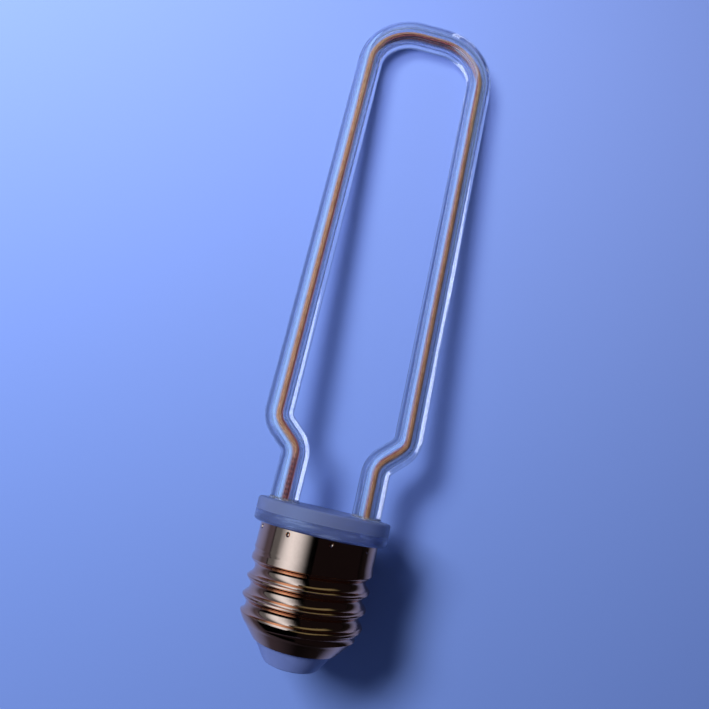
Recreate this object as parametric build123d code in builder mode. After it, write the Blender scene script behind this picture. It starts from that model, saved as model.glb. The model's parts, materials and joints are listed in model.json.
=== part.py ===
from build123d import *
import os
from math import asin, atan2, cos, degrees, hypot, radians, sin, tan

# A hairpin LED filament bulb with an E27 screw cap, in millimetres. Every piece is modelled upright: the
# bulb's axis is Z, the loop points up, X runs across the loop, and z = 0 is the underside of the collar,
# where the shell of the cap begins. Heights in the cap are negative. At the end the bulb is laid down as it
# rests on a table, on the collar's rim and the far end of its loop.

# Clear tube: a hairpin with a knee low down in each leg
TUBE_R = 3.3
BORE_R = 1.5
LEG_OUT = 15.2
LEG_IN = 9.3
KNEE_Z = 16.7
KNEE_ANGLE = 47.0
KNEE_R = 4.7
LOOP_TOP = 133.6
SHOULDER_R = 12.2

# Flexible filament: a circuit ribbon on the inner side of the loop, a phosphor dome on the outer side
FILAMENT_THICK = 1.5
RIBBON_THICK = 0.35
RIBBON_WIDTH = 1.6
PHOSPHOR_WIDTH = 1.9
FILAMENT_END_Z = 3.2

# Collar: a disc with two stepped sockets for the tube, and a neck inside the shell
COLLAR_R = 14.8
COLLAR_H = 4.9
COLLAR_TOP_EASE = 0.5
COLLAR_LOW_ROUND = 0.8
LEDGE = 1.2
GLUE_GAP = 0.15
BEAD = 0.5
NECK_GAP = 0.1
NECK_WALL = 1.4
NECK_LENGTH = 5.0
GUIDE_GRIP = 2.4
GUIDE_BITE = 0.5
GUIDE_WIDTH = 3.0

# Screw shell: rolled sheet, plain skirt, knuckle thread, turned-in lower end
SHEET = 0.3
SKIRT_R = 13.0
SKIRT_LENGTH = 4.6
FLARE_LENGTH = 1.3
CREST_R = 13.15
THREAD_DEPTH = 1.15
PITCH = 3.63
ROOT_SHARE = 0.68
FIRST_ROOT_Z = -7.7
THREAD_TURNS = 4
FADE_TURNS = 0.6
FLAT_ANGLE = 12.0
TURN_IN_Z = -16.2
TURN_IN_R = 5.0
CONE_ANGLE = 48.0
RIM_Z = -22.5
DIMPLES = 9
DIMPLE_R = 0.55
DIMPLE_DEPTH = 0.35
DIMPLE_GAP = 0.08
DIMPLE_Z = -0.95
FIRST_DIMPLE = -41.0

# Insulator and centre contact
INSULATOR_GAP = 0.1
INSULATOR_LENGTH = 2.5
TIP_R = 5.7
TIP_LENGTH = 4.0
TIP_ROUND = 0.6
CONTACT_R = 3.6
CONTACT_THICK = 0.5
STEM_R = 1.5
STEM_WALL = 0.5
STEM_LENGTH = 3.0

# Driver: an upright board in the cap, held by two guides under the collar, and its wires
BOARD_THICK = 1.0
BOARD_DROP = 4.6
BOARD_LIFT = 1.3
BOARD_INSET = 0.3
WIRE_R = 0.25
WIRE_BEND = 0.6
WIRE_STANDOFF = 1.1
LEAD_OFFSET = 0.5
LEAD_EDGE = 2.1
LEAD_DROP = 1.9
LIVE_X = 3.0
LIVE_LIFT = 2.7
PIN_R = 0.3
STUB = 0.6
TERMINAL_THICK = 0.2
TERMINAL_WIDTH = 1.0
TERMINAL_LENGTH = 2.8
TERMINAL_OVERLAP = 1.6
SEAT_GAP = 0.1
HAIR_GAP = 0.02

# Parts on the board. Drops are measured down from the board's upper edge
CAPACITOR_R = 4.0
CAPACITOR_LENGTH = 10.0
CAPACITOR_PITCH = 3.5
CRIMP = 0.4
CRIMP_LIFT = 1.2
RESISTOR_R = 1.2
RESISTOR_LENGTH = 5.4
RESISTOR_X = 6.2
RESISTOR_SPAN = 9.4
PACKAGE_X = -4.5
PACKAGE_HEIGHT = 3.9
PACKAGE_EASE = 0.2
BRIDGE_DROP = 3.6
BRIDGE_WIDTH = 4.7
BRIDGE_THICK = 2.3
BRIDGE_PINS = 2
BRIDGE_PITCH = 2.5
DRIVER_DROP = 9.4
DRIVER_WIDTH = 4.9
DRIVER_THICK = 1.5
DRIVER_PINS = 4
DRIVER_PITCH = 1.27
CHIP_X = 1.2
CHIP_RISE = 1.5
CHIP_WIDTH = 3.1
CHIP_HEIGHT = 1.6
CHIP_THICK = 0.5
CHIP_SPACING = 2.4
CHIPS = 3

MID = Align.CENTER
FAR = Align.MAX

# Values worked out from the sizes above
KNEE_RISE = (LEG_OUT - LEG_IN) / tan(radians(KNEE_ANGLE))
SOCKET_R = TUBE_R + GLUE_GAP
NECK_R = SKIRT_R - SHEET - NECK_GAP
NECK_BORE_R = NECK_R - NECK_WALL
BOARD_HALF = NECK_BORE_R - BOARD_INSET
ROOT_R = CREST_R - THREAD_DEPTH
KNUCKLE_SUM = (THREAD_DEPTH**2 + PITCH**2 / 4) / (2 * THREAD_DEPTH)
ROOT_ROUND = ROOT_SHARE * KNUCKLE_SUM
CREST_ROUND = KNUCKLE_SUM - ROOT_ROUND
TURN_IN_END_R = CREST_R - TURN_IN_R * (1 - cos(radians(CONE_ANGLE)))
TURN_IN_END_Z = TURN_IN_Z - TURN_IN_R * sin(radians(CONE_ANGLE))
RIM_R = TURN_IN_END_R - (TURN_IN_END_Z - RIM_Z) / tan(radians(CONE_ANGLE))
TIP_Z = RIM_Z - TIP_LENGTH
INSULATOR_TOP_Z = RIM_Z + INSULATOR_LENGTH
BOARD_TOP_Z = -BOARD_DROP
BOARD_LOW_Z = INSULATOR_TOP_Z + BOARD_LIFT
BOARD_HEIGHT = BOARD_TOP_Z - BOARD_LOW_Z
BOARD_FACE = BOARD_THICK / 2
LEAD_X = LEG_IN - LEAD_OFFSET
LEAD_HOLE_X = BOARD_HALF - LEAD_EDGE
LEAD_HOLE_Z = BOARD_TOP_Z - LEAD_DROP
WIRE_Y = BOARD_FACE + WIRE_STANDOFF
NEUTRAL_R = SKIRT_R - SHEET - SEAT_GAP - WIRE_R
NEUTRAL_Z = -NECK_LENGTH - STUB
CAPACITOR_Y = BOARD_FACE + SEAT_GAP + CAPACITOR_R
CAPACITOR_LOW_Z = BOARD_LOW_Z + 2 * STUB + WIRE_BEND
CAPACITOR_HOLE_Z = BOARD_LOW_Z + 2 * STUB - 2 * PIN_R + SEAT_GAP
LIVE_HOLE_Z = BOARD_LOW_Z + LIVE_LIFT
BOARD_MID_Z = (BOARD_TOP_Z + BOARD_LOW_Z) / 2


def tube_line(foot):
    """The tube's centreline as a hairpin in the XZ plane, from one foot to the other."""
    with BuildLine(Plane.XZ) as line:
        FilletPolyline(
            (-LEG_IN, foot),
            (-LEG_IN, KNEE_Z),
            (-LEG_OUT, KNEE_Z + KNEE_RISE),
            (-LEG_OUT, LOOP_TOP),
            (LEG_OUT, LOOP_TOP),
            (LEG_OUT, KNEE_Z + KNEE_RISE),
            (LEG_IN, KNEE_Z),
            (LEG_IN, foot),
            radius=(KNEE_R, KNEE_R, SHOULDER_R, SHOULDER_R, KNEE_R, KNEE_R),
        )
    return line.line


def wire_part(points, radius, bend):
    """A round wire along straight runs joined by equal bends."""
    with BuildPart() as wire:
        with BuildLine() as route:
            FilletPolyline(*points, radius=bend)
        with BuildSketch(Plane(route.line @ 0, z_dir=route.line % 0)):
            Circle(radius)
        sweep(path=route.line)
    return wire


# The clear tube stands on the collar's ledges
with BuildPart() as clear_tube:
    hairpin = tube_line(LEDGE)
    with BuildSketch(Plane(hairpin @ 0, x_dir=(1, 0, 0), z_dir=hairpin % 0)):
        Circle(TUBE_R)
        Circle(BORE_R, mode=Mode.SUBTRACT)
    sweep(path=hairpin)

# The filament runs through the whole bore: local x points to the inner side of the loop
filament_line = tube_line(FILAMENT_END_Z)
FILAMENT_PLANE = Plane(filament_line @ 0, x_dir=(1, 0, 0), z_dir=filament_line % 0)
RIBBON_INNER = FILAMENT_THICK / 2
RIBBON_OUTER = RIBBON_INNER - RIBBON_THICK

with BuildPart() as filament_ribbon:
    with BuildSketch(FILAMENT_PLANE):
        with Locations(((RIBBON_INNER + RIBBON_OUTER) / 2, 0)):
            Rectangle(RIBBON_THICK, RIBBON_WIDTH)
    sweep(path=filament_line)

with BuildPart() as filament_phosphor:
    with BuildSketch(FILAMENT_PLANE):
        with BuildLine():
            base = Line((RIBBON_OUTER, -PHOSPHOR_WIDTH / 2), (RIBBON_OUTER, PHOSPHOR_WIDTH / 2))
            ThreePointArc(base @ 1, (-FILAMENT_THICK / 2, 0), base @ 0)
        make_face()
    sweep(path=filament_line)


def filament_terminal(side):
    """The metal tab soldered to the inner face of the ribbon's end."""
    top = FILAMENT_END_Z + TERMINAL_OVERLAP
    with BuildPart() as tab:
        with BuildSketch(Plane.XY.offset(top)):
            with Locations((side * (LEG_IN - RIBBON_INNER - TERMINAL_THICK / 2), 0)):
                Rectangle(TERMINAL_THICK, TERMINAL_WIDTH)
        extrude(amount=-TERMINAL_LENGTH)
    return tab


def filament_lead(side):
    """The wire from a terminal, down through the collar and into the board."""
    x = side * LEAD_X
    hole_x = side * LEAD_HOLE_X
    return wire_part(
        (
            (x, 0, FILAMENT_END_Z - STUB / 2),
            (x, 0, -LEDGE),
            (hole_x, -WIRE_Y, -LEDGE - WIRE_Y),
            (hole_x, -WIRE_Y, LEAD_HOLE_Z),
            (hole_x, BOARD_FACE + STUB, LEAD_HOLE_Z),
        ),
        WIRE_R,
        WIRE_BEND,
    )


def tube_seal(side):
    """Clear adhesive round one foot of the tube, with a small bead on top of the collar."""
    inner = TUBE_R + HAIR_GAP
    outer = SOCKET_R - HAIR_GAP
    top = COLLAR_H + HAIR_GAP
    with BuildPart() as seal:
        with BuildSketch(Plane((side * LEG_IN, 0, 0), x_dir=(1, 0, 0), z_dir=(0, -1, 0))):
            with BuildLine():
                film = Polyline(
                    (inner + BEAD, top),
                    (outer, top),
                    (outer, LEDGE),
                    (inner, LEDGE),
                    (inner, top + BEAD),
                )
                RadiusArc(film @ 0, film @ 1, BEAD)
            make_face()
        revolve(axis=Axis((side * LEG_IN, 0, 0), (0, 0, 1)))
    return seal


filament_terminal_left = filament_terminal(-1)
filament_terminal_right = filament_terminal(1)
filament_lead_left = filament_lead(-1)
filament_lead_right = filament_lead(1)
tube_seal_left = tube_seal(-1)
tube_seal_right = tube_seal(1)

# The collar closes the cap: disc, neck, two board guides, and pockets where the shell is crimped on
with BuildPart() as base_collar:
    with BuildSketch():
        Circle(COLLAR_R)
    extrude(amount=COLLAR_H)
    fillet(base_collar.edges().group_by(Axis.Z)[-1], COLLAR_TOP_EASE)
    fillet(base_collar.edges().group_by(Axis.Z)[0], COLLAR_LOW_ROUND)
    with Locations((-LEG_IN, 0, COLLAR_H), (LEG_IN, 0, COLLAR_H)):
        CounterBoreHole(BORE_R, SOCKET_R, COLLAR_H - LEDGE, COLLAR_H)
    with BuildSketch():
        Circle(NECK_R)
        Circle(NECK_BORE_R, mode=Mode.SUBTRACT)
    extrude(amount=-NECK_LENGTH)
    with BuildSketch():
        with GridLocations(2 * BOARD_HALF, 0, 2, 1):
            Rectangle(2 * GUIDE_BITE, GUIDE_WIDTH)
    extrude(amount=BOARD_TOP_Z - GUIDE_GRIP)
    with BuildSketch(Plane.XY.offset(BOARD_TOP_Z + SEAT_GAP / 2)):
        Rectangle(2 * BOARD_HALF + SEAT_GAP, BOARD_THICK + SEAT_GAP)
    extrude(amount=-BOARD_HEIGHT, mode=Mode.SUBTRACT)
    with BuildSketch(Plane.XY.offset(-NECK_LENGTH)):
        with Locations((0, NECK_R)):
            Rectangle(2 * (WIRE_R + SEAT_GAP), 2 * (NECK_R - NEUTRAL_R + WIRE_R + SEAT_GAP))
    extrude(amount=NECK_LENGTH / 2 + STUB, mode=Mode.SUBTRACT)
    with Locations(Plane.XY.offset(DIMPLE_Z)):
        with PolarLocations(SKIRT_R + DIMPLE_R - DIMPLE_DEPTH, DIMPLES, start_angle=FIRST_DIMPLE):
            Sphere(DIMPLE_R + SHEET + DIMPLE_GAP, mode=Mode.SUBTRACT)


def groove_section(start, run, inset):
    """One turn of the space outside the knuckle thread: a wide root arc between two narrower crest arcs.

    inset is 0 for the outer face of the sheet and its thickness for the inner face. A narrow flat is left
    on each crest, so that neighbouring turns stay apart.
    """
    root_centre = ROOT_ROUND
    crest_centre = THREAD_DEPTH - CREST_ROUND
    root_r = ROOT_ROUND + inset
    crest_r = CREST_ROUND - inset
    lean = atan2(PITCH / 2, crest_centre - root_centre)
    flank = (root_centre + root_r * cos(lean), root_r * sin(lean))
    crest = (
        crest_centre + crest_r * cos(radians(FLAT_ANGLE)),
        PITCH / 2 - crest_r * sin(radians(FLAT_ANGLE)),
    )
    outside = 2 * THREAD_DEPTH
    with BuildSketch(Plane(start, x_dir=(start.X, start.Y, 0), z_dir=run)) as section:
        with BuildLine():
            Polyline((crest[0], -crest[1]), (outside, -crest[1]), (outside, crest[1]), crest)
            RadiusArc(crest, flank, -crest_r)
            ThreePointArc(flank, (root_centre - root_r, 0), (flank[0], -flank[1]))
            RadiusArc((flank[0], -flank[1]), (crest[0], -crest[1]), -crest_r)
        make_face()
    return section.sketch


def thread_groove(inset):
    """The helical groove between the crests. At its upper end it climbs out of the sheet and fades."""
    fade_angle = degrees(atan2(THREAD_DEPTH + 2 * inset, FADE_TURNS * PITCH))
    length = THREAD_TURNS * PITCH
    with BuildPart() as groove:
        with BuildLine() as turns:
            Helix(PITCH, length, ROOT_R, center=(0, 0, FIRST_ROOT_Z - length))
        sweep(groove_section(turns.line @ 0, turns.line % 0, inset), path=turns.line, is_frenet=True)
        with BuildLine() as fade:
            Helix(PITCH, FADE_TURNS * PITCH, ROOT_R, center=(0, 0, FIRST_ROOT_Z), cone_angle=fade_angle)
        sweep(groove_section(fade.line @ 0, turns.line % 1, inset), path=fade.line, is_frenet=True)
    return groove.part


def rim_radius(inset):
    """The radius at the height of the rim, on the outer face of the sheet or inset from it."""
    return RIM_R - inset / sin(radians(CONE_ANGLE))


def shell_form(inset, top_z, low_z):
    """The solid inside one face of the sheet: its outer face at inset 0, its inner face at the thickness."""
    low_r = rim_radius(inset) - (RIM_Z - low_z) / tan(radians(CONE_ANGLE))
    dimple_r = DIMPLE_R + inset
    with BuildPart() as form:
        with BuildSketch(Plane.XZ):
            with BuildLine():
                skirt = Polyline(
                    (0, top_z),
                    (SKIRT_R - inset, top_z),
                    (SKIRT_R - inset, -SKIRT_LENGTH),
                    (CREST_R - inset, -SKIRT_LENGTH - FLARE_LENGTH),
                    (CREST_R - inset, TURN_IN_Z),
                )
                turn = JernArc(skirt @ 1, (0, -1), TURN_IN_R - inset, -CONE_ANGLE)
                Polyline(turn @ 1, (low_r, low_z), (0, low_z), (0, top_z))
            make_face()
        revolve(axis=Axis.Z)
        add(thread_groove(inset), mode=Mode.SUBTRACT)
        with Locations(Plane.XY.offset(DIMPLE_Z)):
            with PolarLocations(SKIRT_R + DIMPLE_R - DIMPLE_DEPTH, DIMPLES, start_angle=FIRST_DIMPLE):
                Sphere(dimple_r, mode=Mode.SUBTRACT)
    return form.part


# The shell is the sheet between its outer form and its inner form
with BuildPart() as screw_shell:
    add(shell_form(0, 0, RIM_Z))
    add(shell_form(SHEET, SEAT_GAP, RIM_Z - SEAT_GAP), mode=Mode.SUBTRACT)

# The insulator fills the turned-in end of the shell and stands out of it as a cone
with BuildPart() as insulator:
    with BuildSketch(Plane.XZ):
        with BuildLine():
            seat_r = rim_radius(SHEET) - INSULATOR_GAP
            hole_r = STEM_R + INSULATOR_GAP
            Polyline(
                (hole_r, INSULATOR_TOP_Z),
                (seat_r + INSULATOR_LENGTH / tan(radians(CONE_ANGLE)), INSULATOR_TOP_Z),
                (seat_r, RIM_Z),
                (TIP_R, TIP_Z),
                (hole_r, TIP_Z),
                close=True,
            )
        make_face()
    revolve(axis=Axis.Z)
    fillet(insulator.edges().group_by(Axis.Z)[0].sort_by(SortBy.RADIUS)[-1], TIP_ROUND)

# The centre contact is an eyelet: a plate on the insulator's tip and a hollow stem through it
with BuildPart() as centre_contact:
    with BuildSketch(Plane.XY.offset(TIP_Z)):
        Circle(CONTACT_R)
    extrude(amount=-CONTACT_THICK)
    fillet(centre_contact.edges().group_by(Axis.Z)[0], CONTACT_THICK / 2)
    with BuildSketch(Plane.XY.offset(TIP_Z)):
        Circle(STEM_R)
        Circle(STEM_R - STEM_WALL, mode=Mode.SUBTRACT)
    extrude(amount=STEM_LENGTH)

# The places of the board's holes, as x and z
LEAD_HOLES = [(-LEAD_HOLE_X, LEAD_HOLE_Z), (LEAD_HOLE_X, LEAD_HOLE_Z)]
NEUTRAL_HOLE = (0, NEUTRAL_Z)
LIVE_HOLE = (LIVE_X, LIVE_HOLE_Z)
CAPACITOR_HOLES = [(-CAPACITOR_PITCH / 2, CAPACITOR_HOLE_Z), (CAPACITOR_PITCH / 2, CAPACITOR_HOLE_Z)]
RESISTOR_HOLES = [
    (RESISTOR_X, BOARD_MID_Z + RESISTOR_SPAN / 2),
    (RESISTOR_X, BOARD_MID_Z - RESISTOR_SPAN / 2),
]

with BuildPart() as driver_board:
    with BuildSketch(Plane.XZ):
        with Locations((0, BOARD_MID_Z)):
            Rectangle(2 * BOARD_HALF, BOARD_HEIGHT)
        with Locations(*LEAD_HOLES, NEUTRAL_HOLE, LIVE_HOLE):
            Circle(WIRE_R + SEAT_GAP, mode=Mode.SUBTRACT)
        with Locations(*CAPACITOR_HOLES, *RESISTOR_HOLES):
            Circle(PIN_R + SEAT_GAP, mode=Mode.SUBTRACT)
    extrude(amount=BOARD_FACE, both=True)
    chamfer(driver_board.edges().filter_by(Axis.Y).group_by(Axis.Z)[0], STUB)


def chip_package(drop, width, thick, pins, pin_pitch):
    """A moulded package on the front of the board, with gull-wing pins along its upper and lower sides."""
    z = BOARD_TOP_Z - drop
    body_y = -BOARD_FACE - SEAT_GAP - thick / 2
    shelf_z = PACKAGE_HEIGHT / 2 + PIN_R / 2
    with BuildPart() as package:
        with Locations((PACKAGE_X, body_y, z)):
            Box(width, thick, PACKAGE_HEIGHT)
        chamfer(package.faces().sort_by(Axis.Y)[0].edges(), PACKAGE_EASE)
        for end in (-1, 1):
            with Locations((PACKAGE_X, body_y, z + end * shelf_z)):
                with GridLocations(pin_pitch, 0, pins, 1):
                    Box(pin_pitch / 3, PIN_R, PIN_R)
            with Locations((PACKAGE_X, -BOARD_FACE, z + end * (shelf_z + PIN_R))):
                with GridLocations(pin_pitch, 0, pins, 1):
                    Box(pin_pitch / 3, -body_y - BOARD_FACE + PIN_R / 2, PIN_R, align=(MID, FAR, MID))
    return package


bridge_rectifier = chip_package(BRIDGE_DROP, BRIDGE_WIDTH, BRIDGE_THICK, BRIDGE_PINS, BRIDGE_PITCH)
driver_ic = chip_package(DRIVER_DROP, DRIVER_WIDTH, DRIVER_THICK, DRIVER_PINS, DRIVER_PITCH)

# Chip resistors in a column
with BuildPart() as sense_resistors:
    with BuildSketch(Plane.XZ.offset(BOARD_FACE + SEAT_GAP / 2)):
        with Locations((CHIP_X, BOARD_MID_Z + CHIP_RISE)):
            with GridLocations(0, CHIP_SPACING, 1, CHIPS):
                Rectangle(CHIP_WIDTH, CHIP_HEIGHT)
    extrude(amount=CHIP_THICK)

# The electrolytic capacitor lies on the back of the board, its two pins bent into the board
with BuildPart() as smoothing_capacitor:
    with BuildSketch(Plane((0, CAPACITOR_Y, CAPACITOR_LOW_Z), x_dir=(1, 0, 0), z_dir=(0, -1, 0))):
        with BuildLine():
            Polyline(
                (0, 0),
                (CAPACITOR_R, 0),
                (CAPACITOR_R, CRIMP_LIFT),
                (CAPACITOR_R - CRIMP, CRIMP_LIFT + CRIMP),
                (CAPACITOR_R, CRIMP_LIFT + 2 * CRIMP),
                (CAPACITOR_R, CAPACITOR_LENGTH - CRIMP),
                (CAPACITOR_R - CRIMP, CAPACITOR_LENGTH),
                (0, CAPACITOR_LENGTH),
                close=True,
            )
        make_face()
    revolve(axis=Axis((0, CAPACITOR_Y, 0), (0, 0, 1)))
    for x, z in CAPACITOR_HOLES:
        bent_pin = (
            (x, CAPACITOR_Y, CAPACITOR_LOW_Z + STUB),
            (x, CAPACITOR_Y, z),
            (x, -BOARD_FACE - STUB, z),
        )
        add(wire_part(bent_pin, PIN_R, WIRE_BEND).part)

# The fusible resistor stands off the front of the board on its own two pins
with BuildPart() as fusible_resistor:
    resistor_y = -BOARD_FACE - SEAT_GAP - RESISTOR_R
    top_z = RESISTOR_HOLES[0][1]
    low_z = RESISTOR_HOLES[1][1]
    back_y = BOARD_FACE + STUB
    bent_pins = (
        (RESISTOR_X, back_y, top_z),
        (RESISTOR_X, resistor_y, top_z),
        (RESISTOR_X, resistor_y, low_z),
        (RESISTOR_X, back_y, low_z),
    )
    add(wire_part(bent_pins, PIN_R, WIRE_BEND).part)
    with BuildSketch(Plane.XY.offset(BOARD_MID_Z)):
        with Locations((RESISTOR_X, resistor_y)):
            Circle(RESISTOR_R)
    extrude(amount=RESISTOR_LENGTH / 2, both=True)
    ends = fusible_resistor.edges().filter_by(GeomType.CIRCLE)
    fillet(ends.filter_by(lambda edge: edge.radius == RESISTOR_R), PIN_R)

# The live wire comes out of the contact's stem, the neutral wire is pinched between neck and shell
live_wire = wire_part(
    (
        (0, 0, TIP_Z + STUB),
        (0, 0, INSULATOR_TOP_Z),
        (LIVE_X, -WIRE_Y, INSULATOR_TOP_Z + WIRE_Y),
        (LIVE_X, -WIRE_Y, LIVE_HOLE_Z),
        (LIVE_X, BOARD_FACE + STUB, LIVE_HOLE_Z),
    ),
    WIRE_R,
    WIRE_BEND,
)
neutral_wire = wire_part(
    (
        (0, NEUTRAL_R, -NECK_LENGTH / 2),
        (0, NEUTRAL_R, NEUTRAL_Z),
        (0, -BOARD_FACE - STUB, NEUTRAL_Z),
    ),
    WIRE_R,
    WIRE_BEND,
)

# A cone of solder where each wire and pin comes out of the board: x, z, the side it is on, the pin's radius
SOLDERED = (
    [(x, z, 1, WIRE_R) for x, z in (*LEAD_HOLES, LIVE_HOLE)]
    + [(*NEUTRAL_HOLE, -1, WIRE_R)]
    + [(x, z, 1, PIN_R) for x, z in RESISTOR_HOLES]
    + [(x, z, -1, PIN_R) for x, z in CAPACITOR_HOLES]
)
with BuildPart() as solder_joints:
    for x, z, side, pin_r in SOLDERED:
        with Locations(Plane((x, side * BOARD_FACE, z), z_dir=(0, side, 0)).location):
            Cone(2 * PIN_R, PIN_R + SEAT_GAP, STUB, align=(MID, MID, Align.MIN))
            Cylinder(pin_r + HAIR_GAP, 2 * STUB + BOARD_THICK, mode=Mode.SUBTRACT)

# At rest the bulb leans on the collar's rim and on the tube at the far end of the loop. Both are round
# there, so the floor is the common tangent of two circles seen along X.
rim_along = COLLAR_H - COLLAR_TOP_EASE
rim_out = COLLAR_R - COLLAR_TOP_EASE
span = hypot(LOOP_TOP - rim_along, rim_out)
tilt = atan2(rim_out, LOOP_TOP - rim_along) - asin((TUBE_R - COLLAR_TOP_EASE) / span)
rest_height = TUBE_R + LOOP_TOP * sin(tilt)
contact_ease = CONTACT_THICK / 2
far_end = LOOP_TOP * cos(tilt) + TUBE_R
near_end = (
    (TIP_Z - CONTACT_THICK + contact_ease) * cos(tilt) - (CONTACT_R - contact_ease) * sin(tilt) - contact_ease
)
LAID_DOWN = Plane(
    origin=(0, -(far_end + near_end) / 2, rest_height), x_dir=(1, 0, 0), z_dir=(0, cos(tilt), -sin(tilt))
).location

os.makedirs("parts", exist_ok=True)
pieces = {
    "clear_tube": clear_tube,
    "filament_phosphor": filament_phosphor,
    "filament_ribbon": filament_ribbon,
    "filament_terminal_left": filament_terminal_left,
    "filament_terminal_right": filament_terminal_right,
    "filament_lead_left": filament_lead_left,
    "filament_lead_right": filament_lead_right,
    "tube_seal_left": tube_seal_left,
    "tube_seal_right": tube_seal_right,
    "base_collar": base_collar,
    "screw_shell": screw_shell,
    "insulator": insulator,
    "centre_contact": centre_contact,
    "driver_board": driver_board,
    "bridge_rectifier": bridge_rectifier,
    "driver_ic": driver_ic,
    "sense_resistors": sense_resistors,
    "smoothing_capacitor": smoothing_capacitor,
    "fusible_resistor": fusible_resistor,
    "live_wire": live_wire,
    "neutral_wire": neutral_wire,
    "solder_joints": solder_joints,
}
for name, piece in pieces.items():
    piece.part.label = name
    piece.part.move(LAID_DOWN)
    export_step(piece.part, f"parts/{name}.step")
print("tilt", round(degrees(tilt), 3), "axis height at the collar", round(rest_height, 3))
print("row y of the collar's underside", round(-(far_end + near_end) / 2, 3))
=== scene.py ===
# %% [markdown]
# # A hairpin filament bulb with a screw cap
# The pieces of this bulb come from its CAD model as a fixed frame: a bent clear tube, a flexible filament in
# it, a frosted collar, a rolled brass screw shell, an insulator and the driver board inside the cap. This
# lesson gives each of them the finish of the real thing and adds the parts that are too small for the CAD
# model. Nothing here moves or resizes a piece.

# %% Load the frame
import json
import math

import bmesh
import bpy
from mathutils import Matrix, Quaternion, Vector


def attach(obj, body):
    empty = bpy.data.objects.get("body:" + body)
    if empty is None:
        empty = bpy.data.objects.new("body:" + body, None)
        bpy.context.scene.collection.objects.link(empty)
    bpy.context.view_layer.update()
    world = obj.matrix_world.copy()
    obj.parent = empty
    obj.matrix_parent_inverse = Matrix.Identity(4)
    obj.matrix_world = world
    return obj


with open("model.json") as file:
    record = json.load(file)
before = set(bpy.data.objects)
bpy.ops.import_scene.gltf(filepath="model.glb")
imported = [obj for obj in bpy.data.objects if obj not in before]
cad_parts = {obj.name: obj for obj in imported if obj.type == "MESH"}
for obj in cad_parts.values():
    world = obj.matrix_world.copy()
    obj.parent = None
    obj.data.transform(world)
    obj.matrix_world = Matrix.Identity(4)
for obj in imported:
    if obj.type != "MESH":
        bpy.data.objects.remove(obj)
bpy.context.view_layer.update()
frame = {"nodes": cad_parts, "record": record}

MM = 0.001

# %% [markdown]
# ## Where the bulb's own axis lies
# The bulb lies on a table, on the rim of its collar and the far end of its loop, so its axis dips a little.
# The record's contact mount sits on that axis and points along it, and everything that follows the bulb's
# shape is placed from there. Upright sizes are counted from the underside of the collar.

# %% The bulb's axis in the row frame
CONTACT_FACE = -27.0 * MM

contact = next(m for m in frame["record"]["mounts"] if m["name"] == "contact_face")
ALONG = -Vector(contact["axis"]).normalized()
ACROSS = Vector((1.0, 0.0, 0.0))
COLLAR_FOOT = Vector(contact["pos_m"]) - ALONG * CONTACT_FACE
TILT = math.atan2(-ALONG.z, ALONG.y)
UPRIGHT_TURN = (-(math.pi / 2 + TILT), 0.0, 0.0)
print("axis dips", round(math.degrees(TILT), 2), "degrees; collar's underside at", tuple(COLLAR_FOOT))

# %% [markdown]
# ## Camera
# The photograph looks down on the bulb from close by, so the cap looks wider than the loop. The camera
# stands at the same place: a wide lens 14 cm above the table, turned until the loop points up in the
# picture and a little to the right.

# %% Camera
CAMERA_AT = COLLAR_FOOT + Vector((-6.765, 20.293, 124.84)) * MM
CAMERA_AIM = COLLAR_FOOT + Vector((-0.951, 42.495, -15.134)) * MM
CAMERA_ROLL = 28.126
LENS = 27.93
SENSOR_WIDTH = 36.0
NEAREST_SEEN = 2 * MM

camera = bpy.data.objects.new("camera", bpy.data.cameras.new("camera"))
bpy.context.scene.collection.objects.link(camera)
camera.data.lens = LENS
camera.data.sensor_width = SENSOR_WIDTH
camera.data.clip_start = NEAREST_SEEN
camera.location = CAMERA_AT
camera.rotation_mode = "QUATERNION"
level = (CAMERA_AIM - CAMERA_AT).to_track_quat("-Z", "Y")
camera.rotation_quaternion = level @ Quaternion((0, 0, 1), math.radians(CAMERA_ROLL))
bpy.context.scene.camera = camera
print("camera", round((CAMERA_AIM - CAMERA_AT).length / MM), "mm from the table")

# %% [markdown]
# ## Light
# One lamp, high on the left, gives the light and the soft-edged shadows, and a dim room fills them. Polished
# brass shows nothing but its surroundings, so what it mirrors matters more than how it is lit, and a lamp
# alone has hard edges in a mirror. So the lamp is hidden from mirrors and clear plastic, and sheets that only
# such rays can see stand in for the window and a wall.

# %% Window lamp
WINDOW_FROM = Vector((-0.259, 0.130, 0.344))
WINDOW_SIZE = (0.20, 0.115)
WINDOW_POWER = 3.45
WINDOW_COLOUR = (0.98, 0.97, 0.95)

window_data = bpy.data.lights.new("window", "AREA")
window_data.shape = "RECTANGLE"
window_data.size, window_data.size_y = WINDOW_SIZE
window_data.energy = WINDOW_POWER
window_data.color = WINDOW_COLOUR
window = bpy.data.objects.new("window", window_data)
bpy.context.scene.collection.objects.link(window)
window.location = WINDOW_FROM
window.rotation_mode = "QUATERNION"
window.rotation_quaternion = (-WINDOW_FROM).to_track_quat("-Z", "Y")
window.visible_camera = False
window.visible_glossy = False
window.visible_transmission = False
print("window lamp", round(WINDOW_FROM.length, 2), "m away")

# %% [markdown]
# ## Small helpers for node trees
# The room, the stage and every finish are trees of nodes, and most of a tree is the same few steps: a new
# node with its values, a mix of two colours, a soft step, a sum. Written out each time, they would hide what
# is special about a finish. So each step is a short function that takes sockets or plain values and returns
# the next socket.


# %% Nodes and links
def add_node(tree, kind, **settings):
    """Adds a node and sets its properties. Inputs are set by their names, with underscores for spaces."""
    node = tree.nodes.new(kind)
    for name, value in settings.items():
        socket = node.inputs.get(name.replace("_", " "))
        if socket is not None and not hasattr(node, name):
            socket.default_value = value
        else:
            setattr(node, name, value)
    return node


def link(tree, source, target):
    """Links two sockets."""
    tree.links.new(source, target)


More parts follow.
